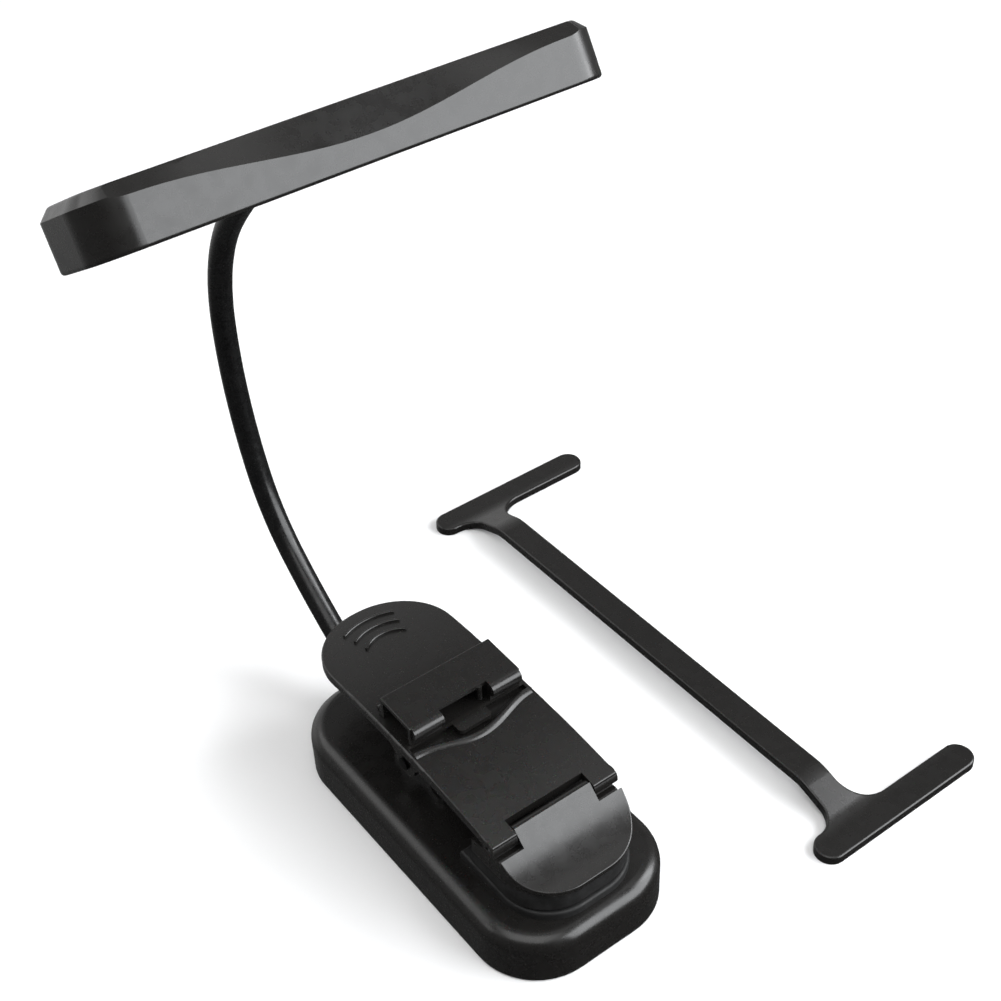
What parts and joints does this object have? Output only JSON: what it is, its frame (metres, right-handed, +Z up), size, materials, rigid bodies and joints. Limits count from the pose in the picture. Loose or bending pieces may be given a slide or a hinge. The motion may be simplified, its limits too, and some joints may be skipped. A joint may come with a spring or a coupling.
{
  "type": "clip-on reading lamp",
  "caption": "Clip-on reading lamp: flat rechargeable base with a spring jaw, bendable gooseneck, wide LED head and a separate page holder bar.",
  "frame": {"origin": "centre of the base's underside, on the table", "axes": "+X along the light head to its right end, +Y from the jaw to the gooseneck side, +Z up"},
  "size_m": [0.1711, 0.1723, 0.1863],
  "materials": {
    "black_housing": "satin injection-moulded black ABS with a very fine spark texture",
    "black_key": "smooth black ABS keycap",
    "black_silicone": "soft matt silicone rubber",
    "neck_silicone": "smooth semi-gloss silicone sleeve",
    "core_steel": "bare wound steel gooseneck core",
    "black_metal": "black anodised turned collar",
    "steel": "zinc-plated steel screws and pins",
    "spring_steel": "drawn spring wire",
    "zinc_plate": "plain steel ballast",
    "connector_steel": "nickel-plated connector shell",
    "circuit_board": "green solder mask",
    "led_board_white": "white solder mask",
    "switch_black": "moulded switch body",
    "clear_pipe": "frosted clear light pipe",
    "battery_wrap": "aluminium-laminate battery pouch",
    "opal_diffuser": "opal satin acrylic",
    "white_reflector": "white moulded reflector frame",
    "led_phosphor": "yellow phosphor over white package"
  },
  "bodies": {
    "base": {"base_top_shell": "black_housing", "base_bottom_cover": "black_housing", "base_screws": "steel", "antislip_pad": "black_silicone", "main_board": "circuit_board", "usb_c_socket": "connector_steel", "tact_switches": "switch_black", "charge_light_pipe": "clear_pipe", "lower_jaw_pad": "black_silicone", "pivot_bracket": "black_housing", "bracket_screws": "steel", "hinge_pin": "black_metal", "torsion_spring": "spring_steel", "neck_ferrule": "black_metal", "battery": "battery_wrap", "ballast_plate": "zinc_plate", "neck_sleeve_root": "neck_silicone", "neck_core_root": "core_steel"},
    "lever": {"press_lever": "black_housing", "nose_pin": "steel", "cover_pin": "steel", "cover_catch": "black_housing"},
    "jaw_nose": {"nose_flap": "black_housing", "nose_pad": "black_silicone"},
    "flip_cover": {"holder_cover": "black_housing"},
    "power_key": {"power_button": "black_key"},
    "brightness_key": {"brightness_button": "black_key"},
    "neck_lower": {"neck_sleeve_lower": "neck_silicone", "neck_core_lower": "core_steel"},
    "neck_middle_low": {"neck_sleeve_middle_low": "neck_silicone", "neck_core_middle_low": "core_steel"},
    "neck_middle_high": {"neck_sleeve_middle_high": "neck_silicone", "neck_core_middle_high": "core_steel"},
    "neck_upper": {"neck_sleeve_upper": "neck_silicone", "neck_core_upper": "core_steel"},
    "head": {"neck_sleeve_top": "neck_silicone", "neck_core_top": "core_steel", "neck_collar": "black_metal", "head_top_shell": "black_housing", "head_bezel": "black_housing", "diffuser": "opal_diffuser", "reflector_tray": "white_reflector", "led_board": "led_board_white", "leds": "led_phosphor", "head_screws": "steel"},
    "page_holder": {"page_holder_bar": "black_housing"}
  },
  "joints": [
    {"name": "lever_squeeze", "type": "hinge", "parent": "base", "child": "lever", "pos_m": [0, 0.01, 0.022], "axis": [-1, 0, 0], "range_deg": [0, 16], "stiffness_Nm_per_rad": 0.25, "springref_deg": -57.3, "deforming": ["torsion_spring"]},
    {"name": "nose_align", "type": "hinge", "parent": "lever", "child": "jaw_nose", "pos_m": [0, -0.0297, 0.0303], "axis": [-1, 0, 0], "range_deg": [-16, 0]},
    {"name": "cover_flip", "type": "hinge", "parent": "lever", "child": "flip_cover", "pos_m": [0, 0.0163, 0.0366], "axis": [-1, 0, 0], "range_deg": [0, 100]},
    {"name": "power_press", "type": "slide", "parent": "base", "child": "power_key", "axis": [-1, 0, 0], "range_m": [0, 0.0006], "stiffness_N_per_m": 100, "springref_m": -0.002},
    {"name": "brightness_press", "type": "slide", "parent": "base", "child": "brightness_key", "axis": [-1, 0, 0], "range_m": [0, 0.0006], "stiffness_N_per_m": 100, "springref_m": -0.002},
    {"name": "neck_side_bend", "type": "hinge", "parent": "base", "child": "neck_lower", "pos_m": [0, 0.05917, 0.01361], "axis": [0, -0.5279, 0.8493], "range_deg": [-22, 22]},
    {"name": "neck_bend_low", "type": "hinge", "parent": "neck_lower", "child": "neck_middle_low", "pos_m": [0, 0.08813, 0.03797], "axis": [1, 0, 0], "range_deg": [-22, 16]},
    {"name": "neck_bend_mid", "type": "hinge", "parent": "neck_middle_low", "child": "neck_middle_high", "pos_m": [0, 0.10157, 0.07517], "axis": [1, 0, 0], "range_deg": [-22, 16]},
    {"name": "neck_bend_high", "type": "hinge", "parent": "neck_middle_high", "child": "neck_upper", "pos_m": [0, 0.09926, 0.11473], "axis": [1, 0, 0], "range_deg": [-22, 16]},
    {"name": "head_tilt", "type": "hinge", "parent": "neck_upper", "child": "head", "pos_m": [0, 0.07588, 0.14667], "axis": [1, 0, 0], "range_deg": [-22, 22]},
    {"name": "holder_lift", "type": "slide", "parent": "base", "child": "page_holder", "axis": [0, 0, 1], "range_m": [0, 0.03]}
  ],
  "couplings": [
    {"joint": "nose_align", "follows": "lever_squeeze", "ratio": -1}
  ]
}
